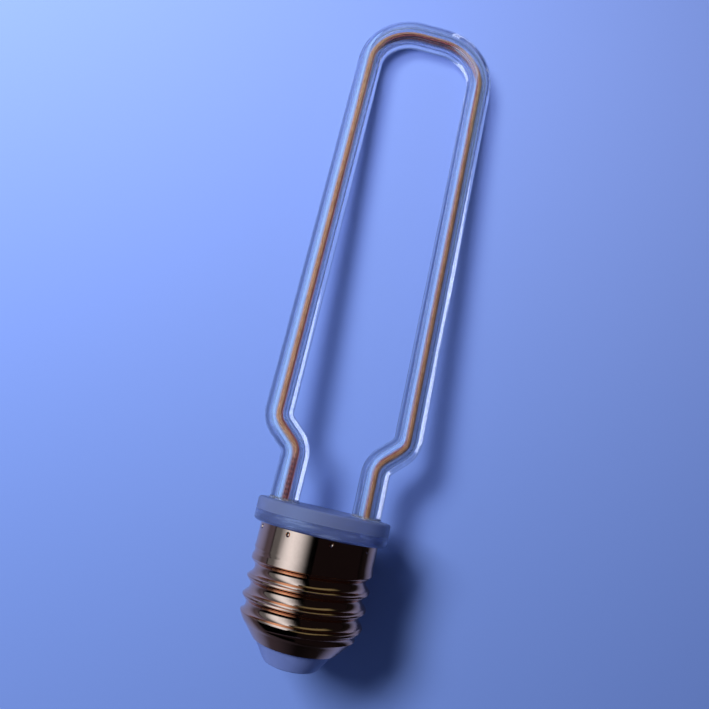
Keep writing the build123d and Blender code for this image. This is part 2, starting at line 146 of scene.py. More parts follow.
def feed(tree, value, target):
    """Links a socket, or sets a plain value."""
    if isinstance(value, bpy.types.NodeSocket):
        link(tree, value, target)
    else:
        target.default_value = value


def mix_colour(tree, share, low, high):
    """A colour mix. share, low and high are each a socket or a plain value. Returns the result's socket."""
    node = add_node(tree, "ShaderNodeMix", data_type="RGBA")
    for slot_name, value in (("Factor_Float", share), ("A_Color", low), ("B_Color", high)):
        target = next(s for s in node.inputs if s.identifier == slot_name)
        feed(tree, (*value, 1.0) if isinstance(value, tuple) else value, target)
    return next(s for s in node.outputs if s.identifier == "Result_Color")


print("node helpers ready")


# %% Sums and steps
def arithmetic(tree, operation, first, second=0.0):
    """A Math node. first and second are each a socket or a number. Returns the result's socket."""
    node = add_node(tree, "ShaderNodeMath", operation=operation)
    feed(tree, first, node.inputs[0])
    feed(tree, second, node.inputs[1])
    return node.outputs["Value"]


def inverse(tree, source):
    """1 less the source."""
    return arithmetic(tree, "SUBTRACT", 1.0, source)


def distance_from(tree, source, middle):
    """How far a value is from a middle, on either side."""
    return arithmetic(tree, "ABSOLUTE", arithmetic(tree, "SUBTRACT", source, middle))


def band(tree, source, middle, half):
    """1 within half of a middle, 0 outside."""
    return arithmetic(tree, "LESS_THAN", distance_from(tree, source, middle), half)


def hypotenuse(tree, first, second):
    """The length across two sides at right angles."""
    first_square = arithmetic(tree, "MULTIPLY", first, first)
    second_square = arithmetic(tree, "MULTIPLY", second, second)
    return arithmetic(tree, "SQRT", arithmetic(tree, "ADD", first_square, second_square))


def ramp(tree, source, low, high):
    """A soft step: 0 below low, 1 above high. Returns the result's socket."""
    node = add_node(tree, "ShaderNodeMapRange", interpolation_type="SMOOTHSTEP")
    node.inputs["From Min"].default_value = low
    node.inputs["From Max"].default_value = high
    link(tree, source, node.inputs["Value"])
    return node.outputs["Result"]


print("sums and steps ready")


# %% Places on a piece
def object_place(tree):
    """The Object coordinates' socket."""
    return add_node(tree, "ShaderNodeTexCoord").outputs["Object"]


def split_parts(tree, place):
    """X, Y and Z of a place, each as a socket."""
    split = add_node(tree, "ShaderNodeSeparateXYZ")
    link(tree, place, split.inputs["Vector"])
    return split.outputs


def join_parts(tree, **parts):
    """A place from some of its X, Y and Z sockets. Returns its socket."""
    joined = add_node(tree, "ShaderNodeCombineXYZ")
    for axis, source in parts.items():
        link(tree, source, joined.inputs[axis])
    return joined.outputs["Vector"]


def upright_parts(tree):
    """X, Y and Z of the upright place on a piece, each as a socket: Z runs along the bulb's axis."""
    mapping = add_node(tree, "ShaderNodeMapping", vector_type="TEXTURE")
    mapping.inputs["Location"].default_value = COLLAR_FOOT
    mapping.inputs["Rotation"].default_value = UPRIGHT_TURN
    link(tree, object_place(tree), mapping.inputs["Vector"])
    return split_parts(tree, mapping.outputs["Vector"])


def noise(tree, place, scale, detail, roughness=0.5):
    """A noise over a place. scale is a socket or a number. Returns the value's socket."""
    node = add_node(tree, "ShaderNodeTexNoise", Detail=detail, Roughness=roughness)
    link(tree, place, node.inputs["Vector"])
    feed(tree, scale, node.inputs["Scale"])
    return node.outputs["Fac"]


print("place helpers ready")


# %% Materials
def blank_material(name):
    """A material with an empty node tree and its output node."""
    material = bpy.data.materials.new(name)
    material.use_nodes = True
    material.node_tree.nodes.clear()
    return material, material.node_tree, add_node(material.node_tree, "ShaderNodeOutputMaterial")


def add_bump(tree, height, shader, strength, distance):
    """A Bump node from height to the shader's Normal."""
    bump = add_node(tree, "ShaderNodeBump", Strength=strength, Distance=distance)
    link(tree, height, bump.inputs["Height"])
    link(tree, bump.outputs["Normal"], shader.inputs["Normal"])


def finish_node(node_name, material):
    """Puts a material on a CAD node's own mesh."""
    slots = frame["nodes"][node_name].data.materials
    slots.clear()
    slots.append(material)


print("material helpers ready")

# %% [markdown]
# ## Room
# The room is the world's light. It fills the shadows with a weak blue, is nearly black to a mirror, dim in
# clear plastic and pale behind the stage. One world can be all of these, because Light Path tells the kinds
# of rays apart.

# %% Room
BACKDROP = (0.42, 0.56, 0.94)
ROOM_FILL = (0.076, 0.092, 0.14)
ROOM_MIRRORED = (0.006, 0.006, 0.010)
ROOM_REFRACTED = (0.10, 0.15, 0.32)

world = bpy.data.worlds.new("room")
bpy.context.scene.world = world
world.use_nodes = True
room = world.node_tree
room.nodes.clear()
rays = add_node(room, "ShaderNodeLightPath")
mirrored = mix_colour(room, rays.outputs["Is Glossy Ray"], ROOM_FILL, ROOM_MIRRORED)
refracted = mix_colour(room, rays.outputs["Is Transmission Ray"], mirrored, ROOM_REFRACTED)
seen = mix_colour(room, rays.outputs["Is Camera Ray"], refracted, BACKDROP)
sky = add_node(room, "ShaderNodeBackground")
link(room, seen, sky.inputs["Color"])
link(room, sky.outputs["Background"], add_node(room, "ShaderNodeOutputWorld").inputs["Surface"])
bpy.context.scene.view_settings.view_transform = "Standard"
print("room ready")


# %% Sheets for the stage
def stage_sheet(name, size, material):
    """A flat rectangle for the stage, not part of the bulb, in its own XY plane."""
    mesh = bmesh.new()
    matrix = Matrix.Diagonal((size[0] / 2, size[1] / 2, 1.0, 1.0))
    bmesh.ops.create_grid(mesh, x_segments=1, y_segments=1, size=1.0, matrix=matrix)
    sheet = bpy.data.objects.new(name, bpy.data.meshes.new(name))
    mesh.to_mesh(sheet.data)
    mesh.free()
    bpy.context.scene.collection.objects.link(sheet)
    sheet.data.materials.append(material)
    return sheet


def hang_sheet(name, size, material, place, unseen_by):
    """A stage sheet hung at a place and turned to the bulb, unseen by the named kinds of rays."""
    sheet = stage_sheet(name, size, material)
    sheet.location = place
    sheet.rotation_mode = "QUATERNION"
    sheet.rotation_quaternion = (-place).to_track_quat("-Z", "Y")
    for kind in unseen_by:
        setattr(sheet, "visible_" + kind, False)


print("sheet helpers ready")

# %% [markdown]
# ## The sheet of paper under the bulb
# The bulb lies on plain pale paper with a cool tint. It is a flat stage with the faint tooth of paper, and
# its
# colour is painted lighter towards the loop's end, a painted falloff of the lamp's light. A sheet has an
# edge:
# seen in the metal, the paper fades to a dark table beside the bulb and past the cap's end, which gives the
# cap its dark bands between the pale strips at its sides. The camera sees the sheet whole, because only
# mirrored rays get the dark table.

# %% Paper
PAPER_SIZE = 3.2
PAPER_NEAR_PAINTED_SHADE = (0.142, 0.228, 0.58)
PAPER_FAR_PAINTED_LIGHT = (0.195, 0.285, 0.68)
PAPER_PAINTED_LIGHT_FADE = (-0.10, 0.10)
PAPER_TOOTH = 0.03 * MM
PAPER_REACH = (0.022, 0.085)
CAP_END_Y = -0.072
TABLE_LEFT_PAINTED_LIGHT = (0.035, 0.04, 0.08)
TABLE_SIDES = (-0.04, 0.04)

paper, tree, out = blank_material("pale_paper")
place = object_place(tree)
parts = split_parts(tree, place)
# Painted light: the paper is lighter towards the loop's end and darker towards the cap, like the lamp's
# falloff.
paper_painted_light = mix_colour(tree, ramp(tree, parts["Y"], *PAPER_PAINTED_LIGHT_FADE), PAPER_NEAR_PAINTED_SHADE, PAPER_FAR_PAINTED_LIGHT)
beside = distance_from(tree, parts["X"], 0.0)
past_cap = arithmetic(tree, "SUBTRACT", CAP_END_Y, parts["Y"])
away = ramp(tree, arithmetic(tree, "MAXIMUM", beside, past_cap), *PAPER_REACH)
# Painted light: in mirrors the table is lighter on the left, the lamp's side.
table = mix_colour(tree, ramp(tree, parts["X"], *TABLE_SIDES), TABLE_LEFT_PAINTED_LIGHT, ROOM_MIRRORED)
in_mirror = add_node(tree, "ShaderNodeLightPath").outputs["Is Glossy Ray"]
paper_shader = add_node(tree, "ShaderNodeBsdfPrincipled", Roughness=0.75)
shown = mix_colour(tree, arithmetic(tree, "MULTIPLY", away, in_mirror), paper_painted_light, table)
link(tree, shown, paper_shader.inputs["Base Color"])
tooth = noise(tree, place, scale=900.0, detail=4.0)
add_bump(tree, tooth, paper_shader, strength=0.35, distance=PAPER_TOOTH)
link(tree, paper_shader.outputs["BSDF"], out.inputs["Surface"])
stage_sheet("paper", (PAPER_SIZE, PAPER_SIZE), paper)
print("paper laid")

# %% [markdown]
# ## What metal and clear plastic see of the window
# Brass needs a broad strip with soft edges and a little glow on its low side, fading past the cap's end.
# Clear plastic needs a narrow bright strip, or the edges of the tube stay grey. A lamp for each would change
# the shadows, so one card does both, and Light Path's Is Transmission Ray chooses its colour and strength.
# The two strengths are given, and are not what one real window would give.

# %% The window's card
CARD_FROM = Vector((-0.25, 0.0, 0.25))
CARD_SIZE = (1.7, 0.66)
CARD_GLOW = (0.80, 1.32, 2.15)
CARD_IN_GLASS = (1.05, 1.15, 1.45)
CARD_CORE = (0.0, 0.25)
CARD_FOOT = (0.18, 0.29)
CARD_LOW = 0.12
CARD_THROUGH = 0.8
SPARK_PLACE = 0.10
SPARK_HALF = 0.07
SPARK_STRENGTH = 2.3

card_glow, tree, out = blank_material("window_card")
parts = split_parts(tree, object_place(tree))
soft_side = inverse(tree, ramp(tree, distance_from(tree, parts["Y"], 0.0), *CARD_CORE))
low_side = arithmetic(tree, "MULTIPLY", arithmetic(tree, "LESS_THAN", parts["Y"], 0.0), CARD_LOW)
soft_foot = inverse(tree, ramp(tree, parts["X"], *CARD_FOOT))
strip = arithmetic(tree, "MULTIPLY", arithmetic(tree, "MAXIMUM", soft_side, low_side), soft_foot)
spark = arithmetic(tree, "MULTIPLY", band(tree, parts["Y"], SPARK_PLACE, SPARK_HALF), SPARK_STRENGTH)
in_glass = add_node(tree, "ShaderNodeLightPath").outputs["Is Transmission Ray"]
strip_in_glass = arithmetic(tree, "ADD", arithmetic(tree, "MULTIPLY", strip, CARD_THROUGH), spark)
glass_share = arithmetic(tree, "MULTIPLY", strip_in_glass, in_glass)
metal_share = arithmetic(tree, "MULTIPLY", strip, inverse(tree, in_glass))
card_emission = add_node(tree, "ShaderNodeEmission")
link(tree, mix_colour(tree, in_glass, CARD_GLOW, CARD_IN_GLASS), card_emission.inputs["Color"])
link(tree, arithmetic(tree, "ADD", glass_share, metal_share), card_emission.inputs["Strength"])
link(tree, card_emission.outputs["Emission"], out.inputs["Surface"])
hang_sheet("window_card", CARD_SIZE, card_glow, CARD_FROM, ("camera", "diffuse", "shadow"))
print("card hung")

# %% [markdown]
# ## A dim wall beyond the loop's end
# A mirror that shows only black looks like a hole. A real room has a wall somewhere, and the grooves of the
# thread catch thin lines of it on their dark side. A brighter room would lift every dark band at once, so a
# small greenish sheet that only mirrored rays can see gives those lines alone.

# %% Dim wall
WALL_AT = Vector((0.12, 0.30, 0.20))
WALL_SIZE = (0.60, 0.22)
WALL_GLOW = (0.15, 0.20, 0.15)
WALL_FADE_UP = (0.066, 0.11)
WALL_FADE_ASIDE = (0.12, 0.30)

wall_glow, tree, out = blank_material("dim_wall")
parts = split_parts(tree, object_place(tree))
fade_up = ramp(tree, distance_from(tree, parts["Y"], 0.0), *WALL_FADE_UP)
fade_aside = ramp(tree, distance_from(tree, parts["X"], 0.0), *WALL_FADE_ASIDE)
wall_emission = add_node(tree, "ShaderNodeEmission", Color=(*WALL_GLOW, 1.0))
wall_strength = inverse(tree, arithmetic(tree, "MAXIMUM", fade_up, fade_aside))
link(tree, wall_strength, wall_emission.inputs["Strength"])
link(tree, wall_emission.outputs["Emission"], out.inputs["Surface"])
hang_sheet("dim_wall", WALL_SIZE, wall_glow, WALL_AT, ("camera", "diffuse", "transmission", "shadow"))
print("wall set")

# %% [markdown]
# ## Effects that several finishes share
# Moulded plastic, rolled metal and clear acrylic all carry small marks. Each effect is a node group, built
# once and placed in every material that needs it, with its own scale and amount. A group gives only masks,
# heights and distances, so the shader itself stays in the material.


# %% A helper for groups
def effect_group(name, inputs, outputs):
    """A node group with float inputs (name: default) and float outputs. Returns it with its two ends."""
    group = bpy.data.node_groups.new(name, "ShaderNodeTree")
    for label, default in inputs.items():
        socket = group.interface.new_socket(label, in_out="INPUT", socket_type="NodeSocketFloat")
        socket.default_value = default
    for label in outputs:
        group.interface.new_socket(label, in_out="OUTPUT", socket_type="NodeSocketFloat")
    return group, add_node(group, "NodeGroupInput"), add_node(group, "NodeGroupOutput")


def use_effect(tree, group, **values):
    """Places a group in a material with its own values."""
    node = add_node(tree, "ShaderNodeGroup", node_tree=group)
    for label, value in values.items():
        node.inputs[label].default_value = value
    return node


print("group helpers ready")

# %% [markdown]
# ### Moulded skin
# A mould leaves a very fine grain on plastic, and the flow of the melt leaves slow waves under it. Two
# noises of different size, added, give both.

# %% Moulded skin
FLOW_SHARE = 2.0
SHADE_STEP = (0.3, 0.7)

moulded_skin, ends_in, ends_out = effect_group(
    "moulded_skin", {"Grain": 2500.0, "Flow": 90.0}, ("Height", "Shade")
)
tree = moulded_skin
place = object_place(tree)
grain = noise(tree, place, ends_in.outputs["Grain"], detail=3.0, roughness=0.6)
flow = noise(tree, place, ends_in.outputs["Flow"], detail=2.0)
slow = arithmetic(tree, "MULTIPLY", flow, FLOW_SHARE)
link(tree, arithmetic(tree, "ADD", grain, slow), ends_out.inputs["Height"])
link(tree, ramp(tree, flow, *SHADE_STEP), ends_out.inputs["Shade"])
print("moulded skin ready")

# %% [markdown]
# ### Turned marks
# The cap is rolled and the contact is stamped, so their fine scratches run round the bulb's axis. A noise
# that is squeezed along the axis and stretched round it does that: its height along the axis varies fast,
# its turn slowly. A second, larger noise gives clouds of wear.

# %% Turned marks
TURN_STRETCH = 0.0012
CLOUD_STEP = (0.42, 0.68)

turned_marks, ends_in, ends_out = effect_group(
    "turned_marks", {"Fineness": 4000.0, "Cloud": 160.0}, ("Height", "Mask")
)
tree = turned_marks
parts = upright_parts(tree)
turn = arithmetic(tree, "ARCTAN2", parts["Y"], parts["X"])
rolled = join_parts(tree, X=arithmetic(tree, "MULTIPLY", turn, TURN_STRETCH), Z=parts["Z"])
lines = noise(tree, rolled, ends_in.outputs["Fineness"], detail=2.0, roughness=0.7)
cloud = noise(tree, object_place(tree), ends_in.outputs["Cloud"], detail=4.0, roughness=0.6)
link(tree, lines, ends_out.inputs["Height"])
link(tree, ramp(tree, cloud, *CLOUD_STEP), ends_out.inputs["Mask"])
print("turned marks ready")

# %% [markdown]
# ### Distance from the tube's middle line
# The bore's wall is drawn plastic with faint streaks, the outer wall is polished. Both belong to one mesh,
# so a group works out how far a point is from the tube's middle line. The upper part of the hairpin is a
# box with round corners, which needs one length of two clamped values. The foot and the slant of the knee
# are plain straight lines, and the larger and the smaller of the three distances join them.

# %% Hairpin field
LEG_OUT = 15.2 * MM
LEG_IN = 9.3 * MM
KNEE_Z = 16.7 * MM
KNEE_ANGLE = math.radians(47.0)
KNEE_R = 4.7 * MM
LOOP_TOP = 133.6 * MM
SHOULDER_R = 12.2 * MM

hairpin_field, ends_in, ends_out = effect_group("hairpin_field", {}, ("Across", "Depth", "Distance"))
tree = hairpin_field
parts = upright_parts(tree)
side = distance_from(tree, parts["X"], 0.0)
past_side = arithmetic(tree, "MAXIMUM", arithmetic(tree, "SUBTRACT", side, LEG_OUT - SHOULDER_R), 0.0)
below_top = arithmetic(tree, "SUBTRACT", parts["Z"], LOOP_TOP - SHOULDER_R)
past_top = arithmetic(tree, "MAXIMUM", below_top, 0.0)
from_loop = arithmetic(tree, "SUBTRACT", hypotenuse(tree, past_side, past_top), SHOULDER_R)
from_foot = arithmetic(tree, "SUBTRACT", side, LEG_IN)
above_knee = arithmetic(tree, "SUBTRACT", parts["Z"], KNEE_Z)
knee_out = arithmetic(tree, "MULTIPLY", from_foot, math.cos(KNEE_ANGLE))
knee_up = arithmetic(tree, "MULTIPLY", above_knee, math.sin(KNEE_ANGLE))
from_slant = arithmetic(tree, "SUBTRACT", knee_out, knee_up)
across = arithmetic(tree, "MAXIMUM", from_loop, arithmetic(tree, "MINIMUM", from_foot, from_slant))
link(tree, across, ends_out.inputs["Across"])
link(tree, parts["Y"], ends_out.inputs["Depth"])
link(tree, hypotenuse(tree, across, parts["Y"]), ends_out.inputs["Distance"])
print("hairpin field ready")

# %% [markdown]
# ## Clear tube
# The tube is thick clear plastic with a narrow bore, so it bends what is behind it twice and shows bright
# lines at the bore's walls. It could be faked with a thin coloured film, but real refraction through the
# CAD tube's outer and inner walls gives those lines by itself. The bore is dull in fine streaks along the
# tube. The outer wall has a coat with a higher index than real plastic, in the same streaks, because plain
# plastic showed too weak a glint beside its bright lines. Cycles would cast a black shadow behind such
# glass, so lamp rays pass it as a pale transparent film, by Light Path's Is Shadow Ray.


# %% Clear pieces let the lamp through
def let_lamps_through(tree, shader, out, tint):
    """Shadow rays pass a clear piece as a tinted transparent film."""
    film = add_node(tree, "ShaderNodeBsdfTransparent", Color=(*tint, 1.0))
    choose = add_node(tree, "ShaderNodeMixShader")
    path = add_node(tree, "ShaderNodeLightPath")
    link(tree, path.outputs["Is Shadow Ray"], choose.inputs["Fac"])
    link(tree, shader.outputs["BSDF"], choose.inputs[1])
    link(tree, film.outputs["BSDF"], choose.inputs[2])
    link(tree, choose.outputs["Shader"], out.inputs["Surface"])


print("film helper ready")

# %% Clear tube
TUBE_TINT = (0.965, 0.975, 1.0, 1.0)
TUBE_SHADOW = (0.75, 0.75, 0.80)
TUBE_POLISH = 0.01
TUBE_SMEAR = 0.03
GLOSS_IOR = 2.5
GLOSS_LEAST = 0.4
GLOSS_STEP = (0.4, 0.6)
BORE_REACH = 2.2 * MM
BORE_DULL = 0.10
BORE_STREAKS = 0.32
STREAK_STEP = (0.35, 0.65)

clear_tube, tree, out = blank_material("clear_tube")
tube_shader = add_node(tree, "ShaderNodeBsdfPrincipled", IOR=1.49, Transmission_Weight=1.0)
tube_shader.inputs["Base Color"].default_value = TUBE_TINT
tube_shader.inputs["Coat IOR"].default_value = GLOSS_IOR
tube_shader.inputs["Coat Roughness"].default_value = 0.02
field = use_effect(tree, hairpin_field)
on_bore = arithmetic(tree, "LESS_THAN", field.outputs["Distance"], BORE_REACH)
lengthwise = join_parts(tree, X=field.outputs["Across"], Y=field.outputs["Depth"])
drawn = noise(tree, lengthwise, scale=1700.0, detail=2.0, roughness=0.6)

more_gloss = arithmetic(tree, "MULTIPLY", ramp(tree, drawn, *GLOSS_STEP), 1.0 - GLOSS_LEAST)
gloss = arithmetic(tree, "ADD", more_gloss, GLOSS_LEAST)
link(tree, arithmetic(tree, "MULTIPLY", gloss, inverse(tree, on_bore)), tube_shader.inputs["Coat Weight"])

tube_skin = use_effect(tree, moulded_skin, Grain=700.0, Flow=120.0)
smears = arithmetic(tree, "MULTIPLY", tube_skin.outputs["Shade"], TUBE_SMEAR)
streaks = arithmetic(tree, "MULTIPLY", ramp(tree, drawn, *STREAK_STEP), BORE_STREAKS)
bore_dull = arithmetic(tree, "MULTIPLY", on_bore, arithmetic(tree, "ADD", streaks, BORE_DULL))
outer_dull = arithmetic(tree, "ADD", smears, TUBE_POLISH)
link(tree, arithmetic(tree, "ADD", outer_dull, bore_dull), tube_shader.inputs["Roughness"])
add_bump(tree, tube_skin.outputs["Height"], tube_shader, strength=0.12, distance=0.04 * MM)
let_lamps_through(tree, tube_shader, out, TUBE_SHADOW)
finish_node("clear_tube", clear_tube)
print("clear tube done")

# %% [markdown]
# ## Filament
# The filament is a flexible circuit strip with a dome of silicone and phosphor over its chips. The dome is
# a tan, slightly uneven rubber. The strip under it is reddish brown film over copper, and the solder pads
# of its chips show as a row of small copper dots on its inner face. In the foot of the left leg the real
# filament is turned so that its strip shows from above. The solid is not turned there, so the dome gets the
# strip's colours below the knee of that leg, with a soft change above.

# %% Phosphor dome
PHOSPHOR = (0.40, 0.205, 0.095)
PHOSPHOR_DARK = (0.31, 0.15, 0.068)
FOOT_FILM = (0.085, 0.028, 0.032)
FOOT_COPPER = (0.21, 0.075, 0.065)
PAD_PITCH = 1.1 * MM
TURNED_FOOT = (12.5 * MM, 18.0 * MM)

phosphor, tree, out = blank_material("phosphor_silicone")
phosphor_shader = add_node(tree, "ShaderNodeBsdfPrincipled", Roughness=0.42, IOR=1.41)
phosphor_skin = use_effect(tree, moulded_skin, Grain=3000.0, Flow=700.0)
dome = mix_colour(tree, phosphor_skin.outputs["Shade"], PHOSPHOR_DARK, PHOSPHOR)
parts = upright_parts(tree)
step = arithmetic(tree, "FRACT", arithmetic(tree, "DIVIDE", parts["Z"], PAD_PITCH))
dots = mix_colour(tree, arithmetic(tree, "LESS_THAN", step, 0.5), FOOT_FILM, FOOT_COPPER)
low = inverse(tree, ramp(tree, parts["Z"], *TURNED_FOOT))
turned = arithmetic(tree, "MULTIPLY", low, arithmetic(tree, "LESS_THAN", parts["X"], 0.0))
link(tree, mix_colour(tree, turned, dome, dots), phosphor_shader.inputs["Base Color"])
add_bump(tree, phosphor_skin.outputs["Height"], phosphor_shader, strength=0.4, distance=0.04 * MM)
link(tree, phosphor_shader.outputs["BSDF"], out.inputs["Surface"])
finish_node("filament_phosphor", phosphor)
print("phosphor dome done")

# %% [markdown]
# ### Plain mouldings
# The strip's film, the insulator, the chips and the wires' sleeves differ only in colour, gloss and grain.
# One function makes such a finish, in two close shades that follow the flow of the melt.


# %% A plain moulding
def moulding(name, dark, light, roughness, grain, flow, bump=0.35):
    """A moulded or lacquered plastic with skin, in two close shades."""
    material, tree, out = blank_material(name)
    shader = add_node(tree, "ShaderNodeBsdfPrincipled", Roughness=roughness)
    skin = use_effect(tree, moulded_skin, Grain=grain, Flow=flow)
    link(tree, mix_colour(tree, skin.outputs["Shade"], dark, light), shader.inputs["Base Color"])
    add_bump(tree, skin.outputs["Height"], shader, strength=bump, distance=0.03 * MM)
    link(tree, shader.outputs["BSDF"], out.inputs["Surface"])
    return material


STRIP_FILM = (0.20, 0.055, 0.05)
STRIP_FILM_LIGHT = (0.30, 0.09, 0.07)

circuit_strip = moulding(
    "circuit_strip", STRIP_FILM, STRIP_FILM_LIGHT, roughness=0.38, grain=4000.0, flow=1100.0, bump=0.3
)
finish_node("filament_ribbon", circuit_strip)
print("circuit strip done")

# %% [markdown]
# ### Solder pads on the strip
# The pads are real thin plates, one every 1.1 mm, all along the loop. The strip follows the tube's hairpin,
# so a small walker steps along the same straight runs and bends, with the sizes of the CAD model, and sets
# one plate at each step. Plates made by create_cube with a matrix of place, turn and size need no points
# worked out by hand.

# %% The hairpin as runs of a length and a turn
STRIP_END_Z = 3.2 * MM

knee_rise = (LEG_OUT - LEG_IN) / math.tan(KNEE_ANGLE)
knee_share = KNEE_R * math.tan(KNEE_ANGLE / 2)
foot_run = KNEE_Z - STRIP_END_Z - knee_share
slant_run = math.hypot(LEG_OUT - LEG_IN, knee_rise) - 2 * knee_share
leg_run = LOOP_TOP - SHOULDER_R - KNEE_Z - knee_rise - knee_share
top_run = 2 * (LEG_OUT - SHOULDER_R)
knee_arc = KNEE_R * KNEE_ANGLE
shoulder_arc = SHOULDER_R * math.pi / 2
left_side = [(foot_run, 0), (knee_arc, -KNEE_ANGLE), (slant_run, 0), (knee_arc, KNEE_ANGLE), (leg_run, 0)]
left_side.append((shoulder_arc, math.pi / 2))
HAIRPIN = left_side + [(top_run, 0)] + left_side[::-1]
STRIP_LENGTH = sum(length for length, _ in HAIRPIN)
print("strip", round(STRIP_LENGTH / MM, 1), "mm long")


# %% A walker along the hairpin
def hairpin_place(distance):
    """Place and heading on the hairpin's middle line, at a distance from its left foot."""
    across, along, heading = -LEG_IN, STRIP_END_Z, 0.0
    for length, turn in HAIRPIN:
        step = min(distance, length)
        if turn == 0:
            across += step * math.sin(heading)
            along += step * math.cos(heading)
        else:
            radius = length / turn
            after = heading + step / radius
            across += radius * (math.cos(heading) - math.cos(after))
            along += radius * (math.sin(after) - math.sin(heading))
            heading = after
        distance -= step
        if distance <= 0:
            break
    return across, along, heading


def on_hairpin(distance, inwards):
    """A matrix at that distance: X along the strip, Y towards the inside of the loop, Z across the strip."""
    across, along, heading = hairpin_place(distance)
    x = ACROSS * math.sin(heading) + ALONG * math.cos(heading)
    y = ACROSS * math.cos(heading) - ALONG * math.sin(heading)
    z = x.cross(y)
    place = COLLAR_FOOT + ACROSS * across + ALONG * along + y * inwards
    return Matrix.LocRotScale(place, Matrix((x, y, z)).transposed().to_quaternion(), None)


right_foot = on_hairpin(STRIP_LENGTH, 0.0).translation
print("right foot at", [round(v / MM, 2) for v in right_foot])

# %% Solder pads
PAD_SIZE = Vector((0.6, 0.04, 1.0)) * MM
PAD_FACE = 0.75 * MM
PAD_MARGIN = 3.2 * MM

pads_mesh = bmesh.new()
pad_count = int((STRIP_LENGTH - 2 * PAD_MARGIN) / PAD_PITCH)
for i in range(pad_count):
    place = on_hairpin(PAD_MARGIN + i * PAD_PITCH, PAD_FACE)
    bmesh.ops.create_cube(pads_mesh, size=1.0, matrix=place @ Matrix.Diagonal((*PAD_SIZE, 1.0)))
solder_pads = bpy.data.objects.new("filament_pads", bpy.data.meshes.new("filament_pads"))
pads_mesh.to_mesh(solder_pads.data)
pads_mesh.free()
bpy.context.scene.collection.objects.link(solder_pads)
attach(solder_pads, "root")
print("pads:", pad_count)

# %% Copper of the pads
PAD_COPPER = (0.48, 0.18, 0.13)
PAD_COPPER_LIGHT = (0.66, 0.30, 0.19)

pad_copper, tree, out = blank_material("pad_copper")
pad_shader = add_node(tree, "ShaderNodeBsdfPrincipled", Metallic=0.2, Roughness=0.45)
pad_skin = use_effect(tree, moulded_skin, Grain=5000.0, Flow=900.0)
pad_colour = mix_colour(tree, pad_skin.outputs["Shade"], PAD_COPPER, PAD_COPPER_LIGHT)
link(tree, pad_colour, pad_shader.inputs["Base Color"])
link(tree, pad_shader.outputs["BSDF"], out.inputs["Surface"])
solder_pads.data.materials.append(pad_copper)
print("pads finished")

# %% [markdown]
# ## Frosted collar and glue
# The collar is moulded clear plastic with a frosted skin: light goes in, scatters and comes out somewhere
# else, so it looks milky and a little darker than the paper. Rough transmission with a cool tint does that.
# Its lower half is smoother, and darker by painted shade, and the pale streaks round it are a painted
# reflection of the bright shell. The glue round each foot of the tube is the same kind of clear, but smooth.

# %% Frosted collar
COLLAR_TINT = (0.28, 0.34, 0.60)
COLLAR_LOW_PAINTED_SHADE = (0.15, 0.20, 0.44)
COLLAR_PAINTED_SHELL_REFLECTION = (0.34, 0.43, 0.76)
COLLAR_REFLECTION_STEP = (0.48, 0.66)
COLLAR_STEP = (2.35 * MM, 2.45 * MM)
COLLAR_DULL = 0.45
COLLAR_LOW_SHINE = 0.2
COLLAR_SHADOW = (0.45, 0.47, 0.52)

collar, tree, out = blank_material("frosted_collar")
collar_shader = add_node(tree, "ShaderNodeBsdfPrincipled", IOR=1.49, Transmission_Weight=0.75)
# Painted shade darkens the lower half, and its pale streaks are a painted reflection of the bright shell.
is_low = inverse(tree, ramp(tree, upright_parts(tree)["Z"], *COLLAR_STEP))
collar_reflection_noise = use_effect(tree, turned_marks, Fineness=1500.0, Cloud=260.0)
painted_reflection_streaks = ramp(tree, collar_reflection_noise.outputs["Height"], *COLLAR_REFLECTION_STEP)
painted_low_half = mix_colour(tree, painted_reflection_streaks, COLLAR_LOW_PAINTED_SHADE, COLLAR_PAINTED_SHELL_REFLECTION)
link(tree, mix_colour(tree, is_low, COLLAR_TINT, painted_low_half), collar_shader.inputs["Base Color"])
collar_shine = arithmetic(tree, "MULTIPLY", is_low, COLLAR_LOW_SHINE)
link(tree, arithmetic(tree, "SUBTRACT", COLLAR_DULL, collar_shine), collar_shader.inputs["Roughness"])
collar_skin = use_effect(tree, moulded_skin, Grain=2600.0, Flow=180.0)
add_bump(tree, collar_skin.outputs["Height"], collar_shader, strength=0.35, distance=0.05 * MM)
let_lamps_through(tree, collar_shader, out, COLLAR_SHADOW)
finish_node("base_collar", collar)
print("collar done")

# %% Glue
GLUE_TINT = (0.86, 0.89, 0.94, 1.0)
GLUE_SHADOW = (0.6, 0.62, 0.66)

glue, tree, out = blank_material("clear_glue")
glue_shader = add_node(tree, "ShaderNodeBsdfPrincipled", Roughness=0.08, IOR=1.5, Transmission_Weight=0.95)
glue_shader.inputs["Base Color"].default_value = GLUE_TINT
glue_skin = use_effect(tree, moulded_skin, Grain=900.0, Flow=300.0)
add_bump(tree, glue_skin.outputs["Height"], glue_shader, strength=0.25, distance=0.1 * MM)
let_lamps_through(tree, glue_shader, out, GLUE_SHADOW)
finish_node("tube_seal_left", glue)
finish_node("tube_seal_right", glue)
print("glue done")

# %% [markdown]
# ## Brass shell
# The shell is rolled from thin brass and plated to a mirror, with a rose gold cast. Its look is all
# reflection, so the colour is the metal's own tint and the roughness stays low. Fine turned marks and a few
# dull clouds from handling keep it from looking like a computer's mirror.

# %% Screw shell
BRASS = (0.96, 0.49, 0.28)
BRASS_CLOUD = (0.88, 0.44, 0.25)
BRASS_POLISH = 0.09
BRASS_WORN = 0.06

